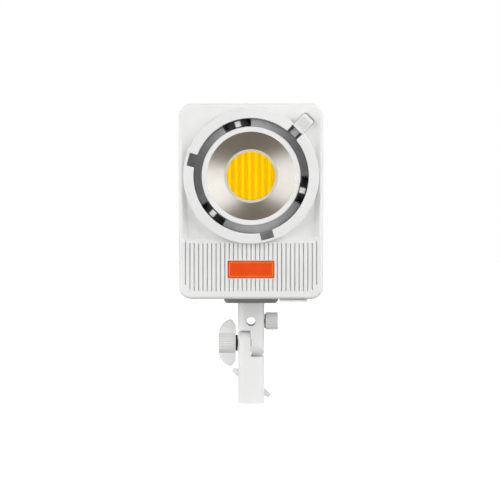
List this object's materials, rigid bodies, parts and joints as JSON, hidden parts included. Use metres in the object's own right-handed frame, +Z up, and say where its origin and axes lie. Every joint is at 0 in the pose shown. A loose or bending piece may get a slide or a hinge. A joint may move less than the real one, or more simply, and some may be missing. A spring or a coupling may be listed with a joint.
{
  "type": "studio light head",
  "caption": "Boxy white studio light with a bayonet mount, dish reflector, round emitter, grooved front panel and a lockable tilt bracket with stand socket.",
  "frame": {"origin": "centre of the stand socket's mouth, at the bottom of the bracket", "axes": "+Z up along the stand, -Y the way the light shines, +X to the right of someone facing the light's front"},
  "size_m": [0.151, 0.1944, 0.3205],
  "materials": {
    "cover_white": "fine satin texture",
    "housing_white": "powder coat",
    "bracket_white": "powder coat",
    "handle_white": "satin",
    "bezel_white": "satin",
    "bare_aluminium": "machined",
    "seat_anodised": "blasted and anodised",
    "tongue_zinc": "satin zinc plate",
    "reflector_satin": "satin anodised",
    "spring_steel": "blackened",
    "steel": "plated",
    "brass": "machined",
    "copper": "bare",
    "phosphor_deep": "silicone gel",
    "phosphor_pale": "silicone gel",
    "dam_white": "silicone",
    "badge_orange": "enamel",
    "black_plastic": "satin",
    "washer_dark": "matt",
    "button_grey": "matt",
    "board_green": "solder mask",
    "transformer_tape": "tape",
    "lead_red": "silicone",
    "display_black": "display",
    "display_glass": "tinted",
    "port_steel": "plated"
  },
  "bodies": {
    "receiver": {"receiver": "bracket_white", "stand_lock_insert": "brass", "friction_disc": "washer_dark"},
    "stand_lock_travel": {"stand_lock_washer": "washer_dark"},
    "stand_lock_turn": {"stand_lock_handle": "handle_white", "stand_lock_screw": "steel"},
    "head": {"front_cover": "cover_white", "main_housing": "housing_white", "rear_cover": "cover_white", "mount_flange": "housing_white", "bayonet_seat": "seat_anodised", "leaf_springs": "spring_steel", "reflector_bezel": "bezel_white", "reflector": "reflector_satin", "latch_spring": "spring_steel", "badge": "badge_orange", "cover_screws": "steel", "door_hinge": "cover_white", "phosphor_warm": "phosphor_deep", "phosphor_cool": "phosphor_pale", "emitter_dam": "dam_white", "emitter_substrate": "bare_aluminium", "emitter_clamp": "black_plastic", "heat_spreader": "copper", "heat_pipes": "copper", "fin_stack": "bare_aluminium", "fan_frame": "black_plastic", "fan_grille": "black_plastic", "power_board": "board_green", "capacitors": "black_plastic", "transformer": "transformer_tape", "rectifier_sink": "bare_aluminium", "internal_leads": "lead_red", "control_board": "board_green", "display_module": "display_black", "display_window": "display_glass", "encoder_body": "black_plastic", "switch_shell": "black_plastic", "power_inlet": "black_plastic", "inlet_pins": "brass", "usb_port": "port_steel", "upper_bracket": "bracket_white", "bracket_screws": "steel", "tilt_bolt": "steel", "umbrella_lock_insert": "brass"},
    "tilt_lock_travel": {"tilt_lock_washer": "washer_dark"},
    "tilt_lock_turn": {"tilt_lock_handle": "handle_white"},
    "umbrella_lock_travel": {"umbrella_lock_collar": "washer_dark"},
    "umbrella_lock_turn": {"umbrella_lock_knob": "handle_white", "umbrella_lock_screw": "steel"},
    "latch": {"latch_slider": "handle_white", "latch_tongue": "tongue_zinc"},
    "fan": {"fan_rotor": "black_plastic"},
    "encoder_spindle": {"encoder_shaft": "steel"},
    "encoder_dial": {"encoder_knob": "black_plastic"},
    "mode_key": {"button_mode": "button_grey"},
    "back_key": {"button_back": "button_grey"},
    "menu_key": {"button_menu": "button_grey"},
    "power_rocker": {"rocker": "black_plastic"},
    "door": {"port_door": "cover_white"}
  },
  "joints": [
    {"name": "tilt", "type": "hinge", "parent": "receiver", "child": "head", "pos_m": [0, 0, 0.065], "axis": [1, 0, 0], "range_deg": [-90, 90]},
    {"name": "tilt_lock_travel", "type": "slide", "parent": "head", "child": "tilt_lock_travel", "axis": [-1, 0, 0], "range_m": [0, 0.0025]},
    {"name": "tilt_lock_turn", "type": "hinge", "parent": "tilt_lock_travel", "child": "tilt_lock_turn", "pos_m": [0, 0, 0.065], "axis": [-1, 0, 0], "range_deg": [0, 720]},
    {"name": "stand_lock_travel", "type": "slide", "parent": "receiver", "child": "stand_lock_travel", "axis": [0, 1, 0], "range_m": [0, 0.0025]},
    {"name": "stand_lock_turn", "type": "hinge", "parent": "stand_lock_travel", "child": "stand_lock_turn", "pos_m": [0, 0.017, 0.0193], "axis": [0, 1, 0], "range_deg": [0, 720]},
    {"name": "umbrella_lock_travel", "type": "slide", "parent": "head", "child": "umbrella_lock_travel", "axis": [1, 0, 0], "range_m": [0, 0.0024]},
    {"name": "umbrella_lock_turn", "type": "hinge", "parent": "umbrella_lock_travel", "child": "umbrella_lock_turn", "pos_m": [0.016, 0, 0.0886], "axis": [1, 0, 0], "range_deg": [0, 1080]},
    {"name": "latch_slide", "type": "slide", "parent": "head", "child": "latch", "axis": [0.7071, 0, 0.7071], "range_m": [0, 0.0016], "stiffness_N_per_m": 400, "springref_m": -0.002},
    {"name": "fan_spin", "type": "hinge", "parent": "head", "child": "fan", "pos_m": [0, 0.083, 0.245], "axis": [0, 1, 0], "continuous": true},
    {"name": "encoder_press", "type": "slide", "parent": "head", "child": "encoder_spindle", "axis": [0, -1, 0], "range_m": [0, 0.0008], "stiffness_N_per_m": 1200, "springref_m": -0.0008},
    {"name": "encoder_turn", "type": "hinge", "parent": "encoder_spindle", "child": "encoder_dial", "pos_m": [-0.04, 0.11, 0.177], "axis": [0, 1, 0], "continuous": true},
    {"name": "mode_press", "type": "slide", "parent": "head", "child": "mode_key", "axis": [0, -1, 0], "range_m": [0, 0.0012], "stiffness_N_per_m": 400, "springref_m": -0.0008},
    {"name": "back_press", "type": "slide", "parent": "head", "child": "back_key", "axis": [0, -1, 0], "range_m": [0, 0.0012], "stiffness_N_per_m": 400, "springref_m": -0.0008},
    {"name": "menu_press", "type": "slide", "parent": "head", "child": "menu_key", "axis": [0, -1, 0], "range_m": [0, 0.0012], "stiffness_N_per_m": 400, "springref_m": -0.0008},
    {"name": "rocker_tip", "type": "hinge", "parent": "head", "child": "power_rocker", "pos_m": [-0.003, 0.102, 0.134], "axis": [1, 0, 0], "range_deg": [0, 14]},
    {"name": "door_swing", "type": "hinge", "parent": "head", "child": "door", "pos_m": [0.0576, -0.056, 0.1147], "axis": [0, -1, 0], "range_deg": [0, 100]}
  ],
  "couplings": [
    {"joint": "tilt_lock_turn", "follows": "tilt_lock_travel", "rad_per_m": 5026.5},
    {"joint": "stand_lock_turn", "follows": "stand_lock_travel", "rad_per_m": 5026.5},
    {"joint": "umbrella_lock_turn", "follows": "umbrella_lock_travel", "rad_per_m": 7853.9}
  ]
}
